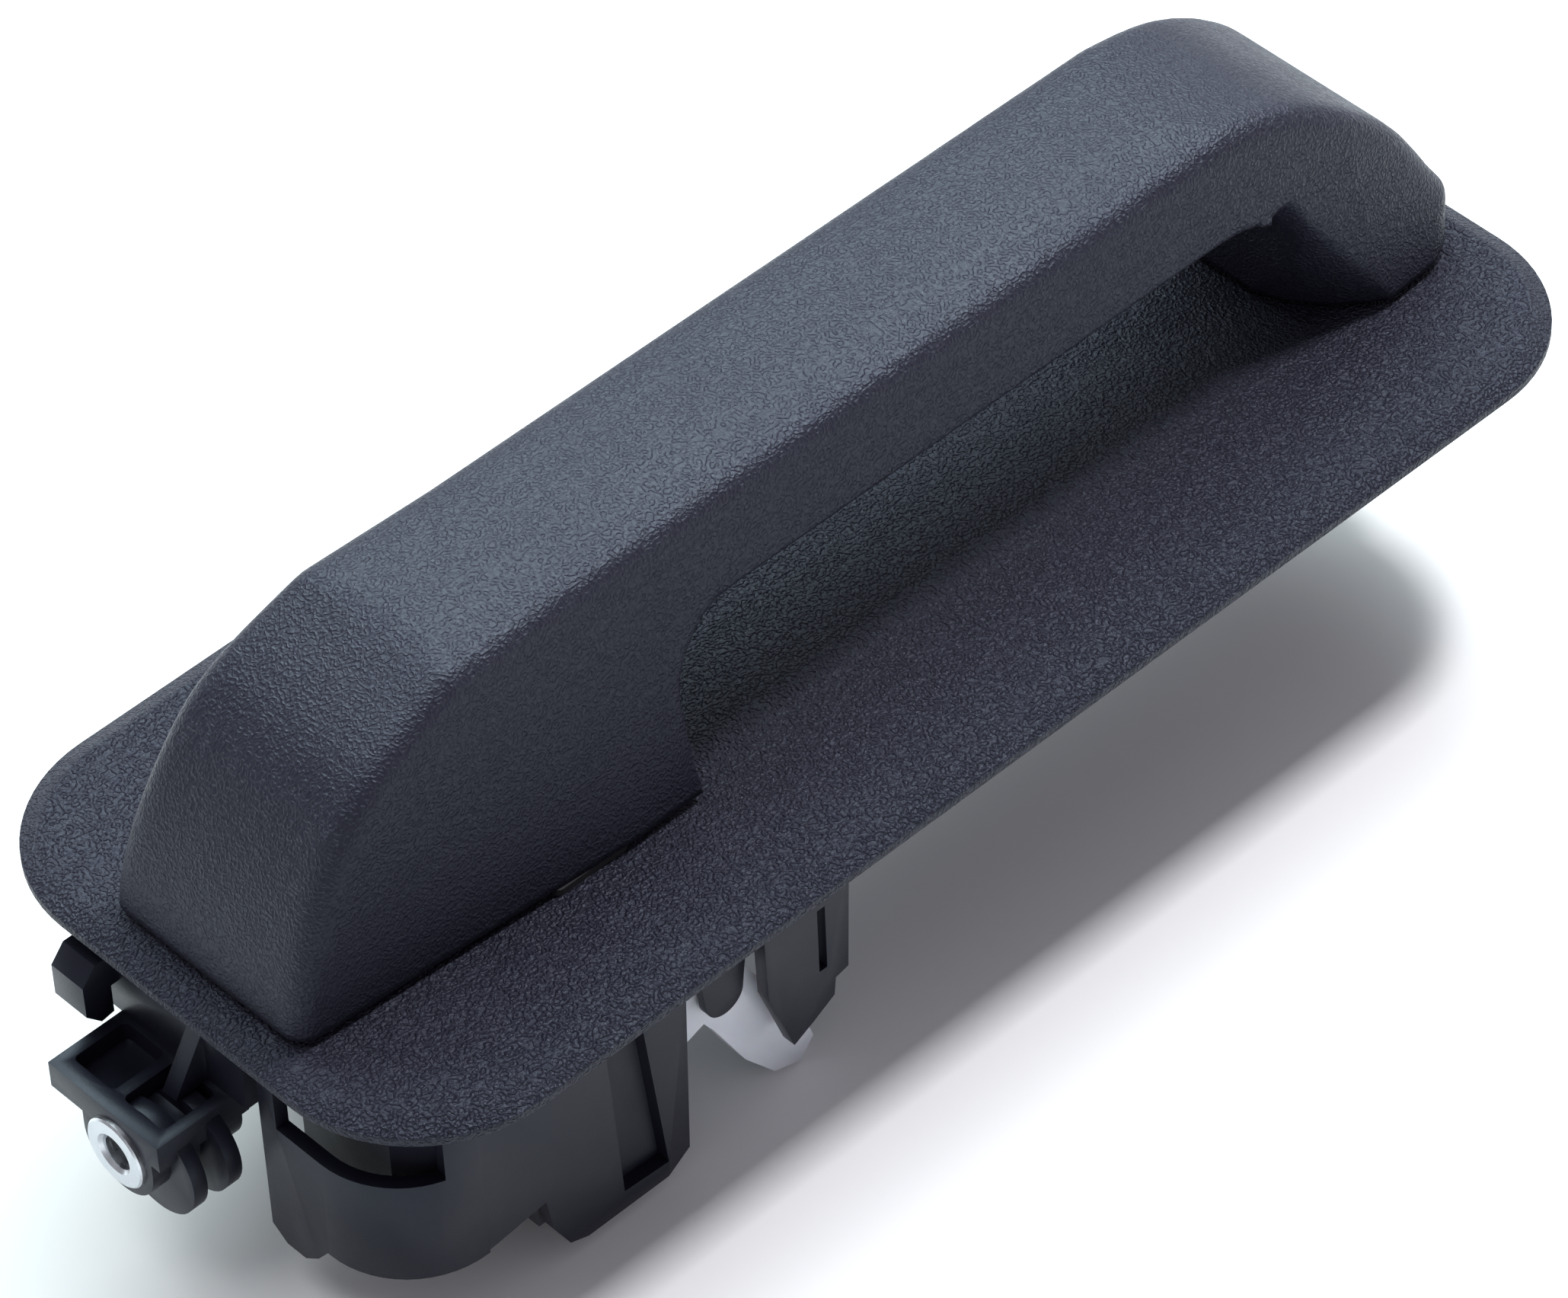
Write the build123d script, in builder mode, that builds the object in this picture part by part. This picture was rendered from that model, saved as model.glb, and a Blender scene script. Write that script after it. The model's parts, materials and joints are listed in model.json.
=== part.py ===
# Car door handle: a strap-shaped pull handle on an escutcheon plate, with the chassis,
# bell crank and threaded lug that sit behind the door skin.
# Millimetres. +X runs along the handle to its slim hinged end, +Z points out of the door.
# The origin is the middle of the plate's underside, where it seats on the door skin.
from build123d import *
import os

os.makedirs("parts", exist_ok=True)

# ---- escutcheon plate ----
PLATE_LENGTH = 250
PLATE_WIDTH = 100
PLATE_CORNER = 25
PLATE_THICKNESS = 3
PLATE_EDGE_HEIGHT = 1.5
PLATE_EDGE_BAND = 3.4

# ---- grip ----
GRIP_BASE_Z = 4.3
GRIP_CREASE_Z = 48
GRIP_CROWN_Z = 49.5
BASE_HALF_WIDTH = 25.3
CREASE_HALF_WIDTH = 15.6
BLOCK_END_X = -119
SLIM_END_X = 121.4
WALL = 3
ARCH_Z = 32.5
ARCH_LEFT_X = -45
ARCH_RIGHT_X = 87.4

# ---- hinge behind the slim end ----
HINGE_X = 115
HINGE_Z = -11
PIN_RADIUS = 2.5

# ---- bell crank ----
CRANK_X = -55
CRANK_Z = -21
CRANK_Y = 33.5
CRANK_PIN_RADIUS = 2.5
ROLLER_X = -84
ROLLER_Z = -34.52
ROLLER_RADIUS = 3.5
CLIP_X = -40.5
CLIP_Z = -45
WEIGHT_X = -34
WEIGHT_Z = -14.5
FOOT_Z = -39.1
ROLLER_RELIEF = 1.2
BLIND_BORE = 0.8

# ---- chassis ----
DECK_LENGTH = 242
DECK_WIDTH = 82
DECK_CORNER = 16
DECK_THICKNESS = 3
SKIRT = 2.4
INNER_WALL = 22
POCKET = [(-80.5, -8), (-73.5, -8), (-69.8, -43.4), (-78.6, -42.8), (-80.5, -8)]
POCKET_WEB = 0.6

# ---- lug with the threaded insert ----
LUG_END_X = -135
LUG_Y = 4
LUG_Z = -23.8
INSERT_RADIUS = 4.2
THREAD_RADIUS = 2.55

# ---- slots in the plate and deck for the two arms ----
PULL_SLOT_AT = (-82.2, -9.5)
PULL_SLOT = (9.4, 25)
HINGE_SLOT_AT = (110.5, 0)
HINGE_SLOT = (18.6, 26)

# ---- screws ----
PLATE_SCREWS = [(-104, 30), (-104, -30), (84, 31), (84, -31)]
SCREW_RADIUS = 1.9
BLOCK_SCREWS = [(-92, 0), (-61, 0)]
LEG_SCREWS = [(99, -6.5), (99, 6.5)]


# ================= plate, gasket and its screws =================

with BuildPart() as bezel_plate:
    with BuildSketch():
        RectangleRounded(PLATE_LENGTH, PLATE_WIDTH, PLATE_CORNER)
    extrude(amount=PLATE_EDGE_HEIGHT)
    # rolled edge: a shallow band round the rim, softened at its inner crease
    with BuildSketch(Plane.XY.offset(PLATE_EDGE_HEIGHT)):
        RectangleRounded(PLATE_LENGTH, PLATE_WIDTH, PLATE_CORNER)
    with BuildSketch(Plane.XY.offset(PLATE_THICKNESS)):
        RectangleRounded(PLATE_LENGTH - 2 * PLATE_EDGE_BAND, PLATE_WIDTH - 2 * PLATE_EDGE_BAND,
                         PLATE_CORNER - PLATE_EDGE_BAND)
    loft(ruled=True)
    fillet(bezel_plate.faces().sort_by(Axis.Z)[-1].edges(), radius=3)
    # slot for the pull arm, under the thick block of the grip
    with BuildSketch():
        with Locations(PULL_SLOT_AT):
            RectangleRounded(*PULL_SLOT, 2)
    extrude(amount=PLATE_THICKNESS, mode=Mode.SUBTRACT)
    # slot for the hinge arm, under the slim end
    with BuildSketch():
        with Locations(HINGE_SLOT_AT):
            RectangleRounded(*HINGE_SLOT, 2)
    extrude(amount=PLATE_THICKNESS, mode=Mode.SUBTRACT)
    # groove for the gasket
    with BuildSketch():
        RectangleRounded(PLATE_LENGTH - 2.4, PLATE_WIDTH - 2.4, PLATE_CORNER - 1.2)
        RectangleRounded(DECK_LENGTH + 1, DECK_WIDTH + 2, DECK_CORNER, mode=Mode.SUBTRACT)
    extrude(amount=0.8, mode=Mode.SUBTRACT)
    # screw bosses that reach down through the deck
    with BuildSketch():
        with Locations(*PLATE_SCREWS):
            Circle(4)
    extrude(amount=-8)
    with BuildSketch(Plane.XY.offset(-8)):
        with Locations(*PLATE_SCREWS):
            Circle(SCREW_RADIUS - 0.2)
    extrude(amount=9, mode=Mode.SUBTRACT)

with BuildPart() as bezel_gasket:
    with BuildSketch(Plane.XY.offset(-0.6)):
        RectangleRounded(PLATE_LENGTH - 2.4, PLATE_WIDTH - 2.4, PLATE_CORNER - 1.2)
        RectangleRounded(DECK_LENGTH + 1, DECK_WIDTH + 2, DECK_CORNER, mode=Mode.SUBTRACT)
    extrude(amount=1.4)

with BuildPart() as plate_screws:
    with BuildSketch(Plane.XY.offset(-8)):
        with Locations(*PLATE_SCREWS):
            Circle(SCREW_RADIUS - 0.2)
    extrude(amount=8.5)
    with BuildSketch(Plane.XY.offset(-8)):
        with Locations(*PLATE_SCREWS):
            Circle(5.6)
    extrude(amount=-1)
    with BuildSketch(Plane.XY.offset(-9)):
        with Locations(*PLATE_SCREWS):
            Circle(3.4)
    extrude(amount=-2)
    fillet(plate_screws.faces().sort_by(Axis.Z)[:4].edges(), radius=0.8)
    with BuildSketch(Plane.XY.offset(-11)):
        with Locations(*PLATE_SCREWS):
            Rectangle(3.6, 0.9)
            Rectangle(0.9, 3.6)
    extrude(amount=1.4, mode=Mode.SUBTRACT)


# ================= chassis behind the door skin =================

with BuildPart() as chassis:
    # deck
    with BuildSketch():
        RectangleRounded(DECK_LENGTH, DECK_WIDTH, DECK_CORNER)
        with Locations(PULL_SLOT_AT):
            RectangleRounded(*PULL_SLOT, 2, mode=Mode.SUBTRACT)
        with Locations(HINGE_SLOT_AT):
            RectangleRounded(*HINGE_SLOT, 2, mode=Mode.SUBTRACT)
        with Locations(*PLATE_SCREWS):
            Circle(4.3, mode=Mode.SUBTRACT)
    extrude(amount=-DECK_THICKNESS)
    # raised pads round the screw bosses
    with BuildSketch(Plane.XY.offset(-DECK_THICKNESS)):
        with Locations(*PLATE_SCREWS):
            Circle(6.5)
            Circle(4.3, mode=Mode.SUBTRACT)
    extrude(amount=-5)
    # skirt of full depth round the near corner of the block end
    with BuildSketch(Plane.XY.offset(-DECK_THICKNESS)):
        RectangleRounded(DECK_LENGTH, DECK_WIDTH, DECK_CORNER)
        RectangleRounded(DECK_LENGTH - 2 * SKIRT, DECK_WIDTH - 2 * SKIRT, DECK_CORNER - SKIRT,
                         mode=Mode.SUBTRACT)
        with Locations((-113, -27)):
            Rectangle(17, 30, mode=Mode.INTERSECT)
    extrude(amount=-31.8)
    # its upper band is open round the corner, which leaves a ledge
    with BuildSketch(Plane.XY.offset(-DECK_THICKNESS)):
        RectangleRounded(DECK_LENGTH, DECK_WIDTH, DECK_CORNER)
        RectangleRounded(DECK_LENGTH - 2 * SKIRT, DECK_WIDTH - 2 * SKIRT, DECK_CORNER - SKIRT,
                         mode=Mode.SUBTRACT)
        with Locations((-117, -27.75)):
            Rectangle(14, 24.5, mode=Mode.INTERSECT)
    extrude(amount=-12, mode=Mode.SUBTRACT)
    # inner wall set back behind the open band, which keeps water out of the corner
    with BuildSketch(Plane.XY.offset(-DECK_THICKNESS)):
        with BuildLine():
            Polyline((-113, -13), (-113, -32), (-108.5, -37), (-104.6, -38.8), (-106, -38.8),
                     (-109.2, -37.8), (-114.2, -32.4), (-114.2, -13), (-113, -13))
        make_face()
    extrude(amount=-INNER_WALL)
    # lower lip of the end wall beside the lug
    with BuildSketch(Plane.YZ.offset(-DECK_LENGTH / 2)):
        with BuildLine():
            Polyline((-25, -34), (-22, -38), (-19, -40.3), (-15, -40.3), (-12, -38), (-12, -33),
                     (-25, -33), (-25, -34))
        make_face()
    extrude(amount=SKIRT)
    # upper end wall that carries the lug and the hook
    with BuildSketch(Plane.YZ.offset(-DECK_LENGTH / 2)):
        with Locations((9, -9.5)):
            Rectangle(36, 13)
    extrude(amount=SKIRT)
    # near wall, with the long leg, the open bay of the crank and the snap leg
    with BuildSketch(Plane.XZ.offset(DECK_WIDTH / 2)):
        with BuildLine():
            Polyline((-105, -3), (-105, -34.3), (-93.5, -33), (-92.3, -40), (-89.5, -45.2),
                     (-86, -46.5), (-70, -46.5), (-65.6, -43.5), (-64.4, -9), (-49, -9),
                     (-48.6, -25), (-44, -38.5), (-40, -36.5), (-35.6, -34), (-35.2, -30.6),
                     (-32.6, -30), (-31.6, -7), (105, -7), (105, -3), (-105, -3))
        make_face()
        with BuildLine():
            Polyline(*POCKET)
        make_face(mode=Mode.SUBTRACT)
        with Locations((-37.6, -20.5)):
            Rectangle(1.6, 13, mode=Mode.SUBTRACT)
    extrude(amount=-SKIRT)
    # thin web that closes the back of the pocket
    with BuildSketch(Plane.XZ.offset(DECK_WIDTH / 2 - SKIRT)):
        with BuildLine():
            Polyline((-82.5, -6), (-71.5, -6), (-67.5, -45), (-81, -45), (-82.5, -6))
        make_face()
    extrude(amount=-POCKET_WEB)
    # stiffening ledge inside the near wall, and shallow far and slim end rims
    with BuildSketch(Plane.XY.offset(-DECK_THICKNESS)):
        RectangleRounded(DECK_LENGTH, DECK_WIDTH, DECK_CORNER)
        RectangleRounded(DECK_LENGTH - 2 * SKIRT, DECK_WIDTH - 2 * SKIRT, DECK_CORNER - SKIRT,
                         mode=Mode.SUBTRACT)
        with Locations((124, 0)):
            Rectangle(20, 44, mode=Mode.SUBTRACT)
        with Locations((-100, 0), (-117, -27.75)):
            Rectangle(60, 60, mode=Mode.SUBTRACT)
    extrude(amount=-4)
    # hinge ears, one each side of the knuckle
    for side in (19.6, -15.4):
        with BuildSketch(Plane.XZ.offset(side)):
            with BuildLine():
                Polyline((104, -3), (109, -14), (121, -11), (121, -3), (104, -3))
            make_face()
            with Locations((HINGE_X, HINGE_Z)):
                Circle(6)
                Circle(PIN_RADIUS, mode=Mode.SUBTRACT)
        extrude(amount=-4.2)
    # crank ears: a stout one inboard and a small tab in the open bay of the skirt
    with BuildSketch(Plane.XZ.offset(16)):
        with BuildLine():
            Polyline((CRANK_X - 8, -3), (CRANK_X - 5.4, CRANK_Z), (CRANK_X + 5.4, CRANK_Z),
                     (CRANK_X + 8, -3), (CRANK_X - 8, -3))
        make_face()
        with Locations((CRANK_X, CRANK_Z)):
            Circle(5.4)
            Circle(CRANK_PIN_RADIUS, mode=Mode.SUBTRACT)
    extrude(amount=-3)
    with BuildSketch(Plane.XZ.offset(DECK_WIDTH / 2 - SKIRT)):
        with BuildLine():
            Polyline((CRANK_X - 6, -3), (CRANK_X - 3.7, CRANK_Z), (CRANK_X + 3.7, CRANK_Z),
                     (CRANK_X + 6, -3), (CRANK_X - 6, -3))
        make_face()
        with Locations((CRANK_X, CRANK_Z)):
            Circle(3.7)
    extrude(amount=-1.6)
    with BuildSketch(Plane.XZ.offset(DECK_WIDTH / 2 - SKIRT - BLIND_BORE)):
        with Locations((CRANK_X, CRANK_Z)):
            Circle(CRANK_PIN_RADIUS)
    extrude(amount=-BLIND_BORE, mode=Mode.SUBTRACT)
    # relief in the deck's underside over the roller's path
    with BuildSketch(Plane.XY.offset(-DECK_THICKNESS)):
        with Locations((-82, -32.3)):
            Rectangle(24, 12.6)
    extrude(amount=ROLLER_RELIEF, mode=Mode.SUBTRACT)
    # post for the travel stop and post that centres the return spring
    with BuildSketch(Plane.XY.offset(-DECK_THICKNESS)):
        with Locations((-64, -2)):
            Rectangle(6, 12)
    extrude(amount=-6.8)
    with BuildSketch(Plane.XY.offset(-DECK_THICKNESS)):
        with Locations((-84, 19)):
            Circle(3.4)
    extrude(amount=-4)
    # lug: slab with two pockets over a round boss
    with BuildSketch(Plane.YZ.offset(LUG_END_X)):
        with Locations((LUG_Y + 2.5, -18.5)):
            Rectangle(24, 5)
        with Locations((LUG_Y, LUG_Z)):
            Circle(7.6)
        with Locations((LUG_Y, -20)):
            Rectangle(15.2, 7)
    extrude(amount=17)
    with BuildSketch(Plane.XY.offset(-16)):
        with Locations((-127, LUG_Y - 3), (-127, LUG_Y + 8)):
            RectangleRounded(10, 9, 1)
    extrude(amount=-3.4, mode=Mode.SUBTRACT)
    with BuildSketch(Plane.YZ.offset(LUG_END_X)):
        with Locations((LUG_Y, LUG_Z)):
            Circle(INSERT_RADIUS)
    extrude(amount=14, mode=Mode.SUBTRACT)
    # gusset that carries the lug back to the deck
    with BuildSketch(Plane.XZ.offset(-LUG_Y + 1.5)):
        with BuildLine():
            Polyline((-121, -16), (-127, -16), (-121, -6), (-121, -16))
        make_face()
    extrude(amount=3)
    # two ribs that drop below the boss
    for rib_x, rib_y, rib_z, rib_radius in ((-131.6, 1, -26, 9.4), (-126, -1, -25, 8.6)):
        with BuildSketch(Plane.YZ.offset(rib_x)):
            with Locations((rib_y, rib_z)):
                Circle(rib_radius)
            with Locations((LUG_Y, LUG_Z)):
                Circle(INSERT_RADIUS, mode=Mode.SUBTRACT)
            with Locations((rib_y, -10)):
                Rectangle(30, 12.2, mode=Mode.SUBTRACT)
        extrude(amount=2.6)
    # hook tab beyond the lug
    with BuildSketch(Plane.XZ.offset(-25)):
        with BuildLine():
            Polyline((-120, -3), (-125, -3), (-127.6, -6), (-127.6, -12), (-125, -14.8),
                     (-122.6, -14.4), (-122.6, -9), (-120, -9), (-120, -3))
        make_face()
    extrude(amount=7)

with BuildPart() as threaded_insert:
    with BuildSketch(Plane.YZ.offset(LUG_END_X)):
        with Locations((LUG_Y, LUG_Z)):
            Circle(INSERT_RADIUS)
    extrude(amount=13)
    with BuildSketch(Plane.YZ.offset(LUG_END_X)):
        with Locations((LUG_Y, LUG_Z)):
            Circle(6)
    extrude(amount=-0.9)
    with BuildSketch(Plane.YZ.offset(LUG_END_X - 0.9)):
        with Locations((LUG_Y, LUG_Z)):
            Circle(THREAD_RADIUS)
    extrude(amount=13.9, mode=Mode.SUBTRACT)
    mouth = threaded_insert.edges().filter_by(GeomType.CIRCLE).group_by(Axis.X)[0].sort_by(SortBy.RADIUS)[0]
    chamfer(mouth, length=0.7)


# ================= pins, clips, stops and spring =================

with BuildPart() as hinge_pin:
    with BuildSketch(Plane.XZ.offset(21)):
        with Locations((HINGE_X, HINGE_Z)):
            Circle(PIN_RADIUS)
    extrude(amount=-43)
    with BuildSketch(Plane.XZ.offset(21)):
        with Locations((HINGE_X, HINGE_Z)):
            Circle(4)
    extrude(amount=-1.4)
    chamfer(hinge_pin.edges().filter_by(GeomType.CIRCLE).sort_by(Axis.Y)[-1], length=0.5)
    # groove for the clip
    with BuildSketch(Plane.XZ.offset(-20)):
        with Locations((HINGE_X, HINGE_Z)):
            Circle(PIN_RADIUS + 1)
            Circle(PIN_RADIUS - 0.5, mode=Mode.SUBTRACT)
    extrude(amount=-0.8, mode=Mode.SUBTRACT)

with BuildPart() as hinge_clip:
    with BuildSketch(Plane.XZ.offset(-20)):
        with Locations((HINGE_X, HINGE_Z)):
            Circle(5)
            Circle(PIN_RADIUS - 0.5, mode=Mode.SUBTRACT)
            with Locations((0, -3.4)):
                Rectangle(2.6, 4, mode=Mode.SUBTRACT)
    extrude(amount=-0.8)

with BuildPart() as crank_pin:
    with BuildSketch(Plane.XZ.offset(DECK_WIDTH / 2 - SKIRT - BLIND_BORE)):
        with Locations((CRANK_X, CRANK_Z)):
            Circle(CRANK_PIN_RADIUS)
    extrude(amount=BLIND_BORE - 28)
    # groove for the clip
    with BuildSketch(Plane.XZ.offset(CRANK_Y - 20.9)):
        with Locations((CRANK_X, CRANK_Z)):
            Circle(CRANK_PIN_RADIUS + 1)
            Circle(CRANK_PIN_RADIUS - 0.5, mode=Mode.SUBTRACT)
    extrude(amount=-0.8, mode=Mode.SUBTRACT)

with BuildPart() as crank_clip:
    with BuildSketch(Plane.XZ.offset(CRANK_Y - 20.9)):
        with Locations((CRANK_X, CRANK_Z)):
            Circle(5)
            Circle(CRANK_PIN_RADIUS - 0.5, mode=Mode.SUBTRACT)
            with Locations((0, -3.4)):
                Rectangle(2.6, 4, mode=Mode.SUBTRACT)
    extrude(amount=-0.8)

with BuildPart() as travel_stop:
    with BuildSketch(Plane.XY.offset(-DECK_THICKNESS - 6.8)):
        with Locations((-64, -2)):
            RectangleRounded(7, 13, 1.5)
    extrude(amount=-3.6)
    fillet(travel_stop.faces().sort_by(Axis.Z)[0].edges(), radius=0.8)

with BuildPart() as rest_pads:
    with BuildSketch(Plane.XY.offset(PLATE_THICKNESS)):
        with Locations((-117.2, 0)):
            RectangleRounded(2.4, 14, 1)
        with Locations((-66, 23.2), (-66, -23.2)):
            RectangleRounded(14, 2.4, 1)
    extrude(amount=1.2)

SPRING_TOP = -DECK_THICKNESS
SPRING_BOTTOM = FOOT_Z + 0.1
with BuildPart() as return_spring:
    with BuildLine() as coil:
        Helix(pitch=(SPRING_TOP - SPRING_BOTTOM - 1.2) / 7, height=SPRING_TOP - SPRING_BOTTOM - 1.2,
              radius=5, center=(-84, 19, SPRING_BOTTOM + 0.6))
    with BuildSketch(Plane(origin=coil.line @ 0, z_dir=coil.line % 0)):
        Circle(0.6)
    sweep(path=coil.line, is_frenet=True)


# ================= grip =================

# outer envelope: leaning sides and crowned top, trimmed to the side profile
with BuildPart() as envelope:
    for station, base, crease in (
        (-126, 20.2, 18.4),
        (-58, BASE_HALF_WIDTH, CREASE_HALF_WIDTH),
        (98, BASE_HALF_WIDTH, CREASE_HALF_WIDTH),
        (128, 23.5, 14.5),
    ):
        with BuildSketch(Plane.YZ.offset(station)):
            with BuildLine():
                Polyline((-crease, GRIP_CREASE_Z), (-base, 3), (base, 3), (crease, GRIP_CREASE_Z))
                ThreePointArc((crease, GRIP_CREASE_Z), (0, GRIP_CROWN_Z), (-crease, GRIP_CREASE_Z))
            make_face()
    loft(ruled=True)
    with BuildSketch(Plane.XZ):
        with BuildLine():
            Line((SLIM_END_X, GRIP_BASE_Z + 0.4), (BLOCK_END_X, GRIP_BASE_Z))
            Spline((BLOCK_END_X, GRIP_BASE_Z), (-115.6, 18), (-109.5, 29.5), (-101, 39.5),
                   (-88, 46.2), (-66, 50), tangents=[(0.05, 1), (1, 0)])
            Line((-66, 50), (48, 50))
            Spline((48, 50), (74, 48.6), (90, 44.2), (101.5, 36.5), (110.6, 27), (117.4, 15.5),
                   (SLIM_END_X, GRIP_BASE_Z + 0.4), tangents=[(1, 0), (0, -1)])
        make_face()
    extrude(amount=40, both=True, mode=Mode.INTERSECT)
    # plan outline, rounded off at the slim end
    with BuildSketch():
        with BuildLine():
            Line((100, -30), (-125, -30))
            Line((-125, -30), (-125, 30))
            Line((-125, 30), (100, 30))
            Spline((100, 30), (108, 25.2), (115.5, 22), (120.6, 16), (SLIM_END_X + 0.6, 0),
                   (120.6, -16), (115.5, -22), (108, -25.2), (100, -30))
        make_face()
    extrude(amount=60, mode=Mode.INTERSECT)
    # soft creases along the top and down both end faces
    creases = envelope.edges().filter_by(lambda e: abs(e.center().Y) > 12 and e.center().Z > 5.5)
    fillet(creases, radius=4)

with BuildPart() as finger_arch:
    with BuildSketch(Plane.XZ):
        with BuildLine():
            Polyline((ARCH_RIGHT_X, 16), (ARCH_RIGHT_X, -1), (ARCH_LEFT_X, -1), (ARCH_LEFT_X, 19))
            Spline((ARCH_LEFT_X, 19), (-41.5, 28), (-31, ARCH_Z), tangents=[(0, 1), (1, 0)])
            Line((-31, ARCH_Z), (68, ARCH_Z))
            Spline((68, ARCH_Z), (82, 28), (ARCH_RIGHT_X, 16), tangents=[(1, 0), (0, -1)])
        make_face()
    extrude(amount=40, both=True)

# the slim leg's inner face is a blunt nose, swept back on both sides of its root
with BuildPart() as nose_relief:
    with BuildSketch(Plane.XY.offset(3)):
        with BuildLine():
            Polyline((108, -27.5), (80, -30), (80, -4), (87.4, -4))
            Spline((87.4, -4), (89, -11.5), (95, -20), (108, -27.5))
        make_face()
    with BuildSketch(Plane.XY.offset(31)):
        with BuildLine():
            Polyline((86, -21.5), (80, -30), (80, -18), (83, -18))
            Spline((83, -18), (83.7, -18.7), (84.6, -19.8), (86, -21.5))
        make_face()
    loft(ruled=True)
    mirror(about=Plane.XZ)

with BuildPart() as inner_room:
    for station, base, crease in (
        (-126, 20.2, 18.4),
        (-58, BASE_HALF_WIDTH, CREASE_HALF_WIDTH),
        (82, BASE_HALF_WIDTH, CREASE_HALF_WIDTH),
    ):
        with BuildSketch(Plane.YZ.offset(station)):
            with BuildLine():
                Polyline((-crease + WALL, 46), (-base + WALL, 2), (base - WALL, 2),
                         (crease - WALL, 46), (-crease + WALL, 46))
            make_face()
    loft(ruled=True)
    with BuildSketch(Plane.XZ):
        with BuildLine():
            Polyline((82, 44), (82, 2), (-115, 2), (-115, 8), (-112, 18), (-106, 28), (-97.5, 36),
                     (-84, 42.5), (-66, 46.3), (48, 46.3), (74, 44.4), (82, 42))
            Line((82, 42), (82, 44))
        make_face()
    extrude(amount=40, both=True, mode=Mode.INTERSECT)

with BuildPart() as leg_room:
    with BuildSketch(Plane.XZ):
        with BuildLine():
            Polyline((80, 36), (84, 35), (91, 24), (91, 2), (117, 2), (116, 9), (110, 19),
                     (100.5, 29.5), (90, 37.2), (80, 42), (80, 36))
        make_face()
    extrude(amount=12, both=True)

with BuildPart() as grip_shell:
    add(envelope.part)
    add(finger_arch.part, mode=Mode.SUBTRACT)
    add(nose_relief.part, mode=Mode.SUBTRACT)
    add(inner_room.part, mode=Mode.SUBTRACT)
    add(leg_room.part, mode=Mode.SUBTRACT)

with BuildPart() as grip_inner_cover:
    # follows the arch from the foot of the block to the slim leg
    with BuildSketch(Plane.XZ):
        with BuildLine():
            Polyline((78, ARCH_Z), (78, ARCH_Z + 2.6), (-31, ARCH_Z + 2.6))
            Spline((-31, ARCH_Z + 2.6), (-43.6, 30), (ARCH_LEFT_X - 2.6, 19),
                   tangents=[(-1, 0), (0, -1)])
            Polyline((ARCH_LEFT_X - 2.6, 19), (ARCH_LEFT_X - 2.6, 4.6), (ARCH_LEFT_X, 4.6),
                     (ARCH_LEFT_X, 19))
            Spline((ARCH_LEFT_X, 19), (-41.5, 28), (-31, ARCH_Z), tangents=[(0, 1), (1, 0)])
            Line((-31, ARCH_Z), (78, ARCH_Z))
        make_face()
    extrude(amount=40, both=True)
    add(inner_room.part, mode=Mode.INTERSECT)
    add(finger_arch.part, mode=Mode.SUBTRACT)

with BuildPart() as grip_core:
    with BuildSketch(Plane.XZ):
        with BuildLine():
            Polyline((-94, 36.4), (-88, 39.6), (-68, 43.4), (50, 43.4), (74, 41.6), (84, 38.2),
                     (97, 31), (103.4, 25), (103.4, 18), (95, 18), (94, 25), (84, 35.8),
                     (78, 36.2), (-94, 35.4), (-94, 36.4))
        make_face()
    extrude(amount=9, both=True)
    with BuildSketch(Plane.XY.offset(9)):
        with Locations(*BLOCK_SCREWS):
            Circle(4.6)
    extrude(amount=26.8)
    with BuildSketch(Plane.XY.offset(9)):
        with Locations(*LEG_SCREWS):
            Circle(3.6)
    extrude(amount=12)
    with BuildSketch(Plane.XY.offset(9)):
        with Locations(*BLOCK_SCREWS):
            Circle(SCREW_RADIUS - 0.2)
        with Locations(*LEG_SCREWS):
            Circle(SCREW_RADIUS - 0.2)
    extrude(amount=10, mode=Mode.SUBTRACT)


# ================= arms that carry the grip =================

ARM_RADIUS = HINGE_X + 82
with BuildPart() as pull_arm:
    # pad inside the block
    with BuildSketch(Plane.XY.offset(5.2)):
        with Locations((-81, 0)):
            RectangleRounded(56, 26, 4)
    extrude(amount=3.8)
    # web, struck from the hinge so that it slides through its slot
    with BuildSketch(Plane.XZ.offset(18.5)):
        with Locations((HINGE_X, HINGE_Z)):
            Circle(ARM_RADIUS + 3)
            Circle(ARM_RADIUS - 2, mode=Mode.SUBTRACT)
        with Locations((-82, (FOOT_Z - 3.8 + 7.4) / 2)):
            Rectangle(30, 11.2 - FOOT_Z, mode=Mode.INTERSECT)
    extrude(amount=-19.5)
    # foot: blade under the crank's roller, ledge for the travel stop and seat of the spring
    with BuildSketch(Plane.XY.offset(FOOT_Z)):
        with Locations((-85.7, -17)):
            Rectangle(12.4, 40)
        with Locations((-84, 6)):
            RectangleRounded(16, 20, 3)
        with Locations((-70, -2)):
            RectangleRounded(24, 11, 2)
        with Locations((-84, 19)):
            Circle(7)
    extrude(amount=-3.8)
    with BuildSketch(Plane.XY.offset(FOOT_Z)):
        with Locations((-84, 19)):
            Circle(3.4)
    extrude(amount=1.5)
    # stiffening rib between the web and the ledge
    with BuildSketch(Plane.XZ.offset(5)):
        with BuildLine():
            Polyline((-81, FOOT_Z), (-70, FOOT_Z), (-79, -33), (-81, FOOT_Z))
        make_face()
    extrude(amount=-3)
    with BuildSketch(Plane.XY.offset(5.2)):
        with Locations(*BLOCK_SCREWS):
            Circle(SCREW_RADIUS)
    extrude(amount=4, mode=Mode.SUBTRACT)

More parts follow.
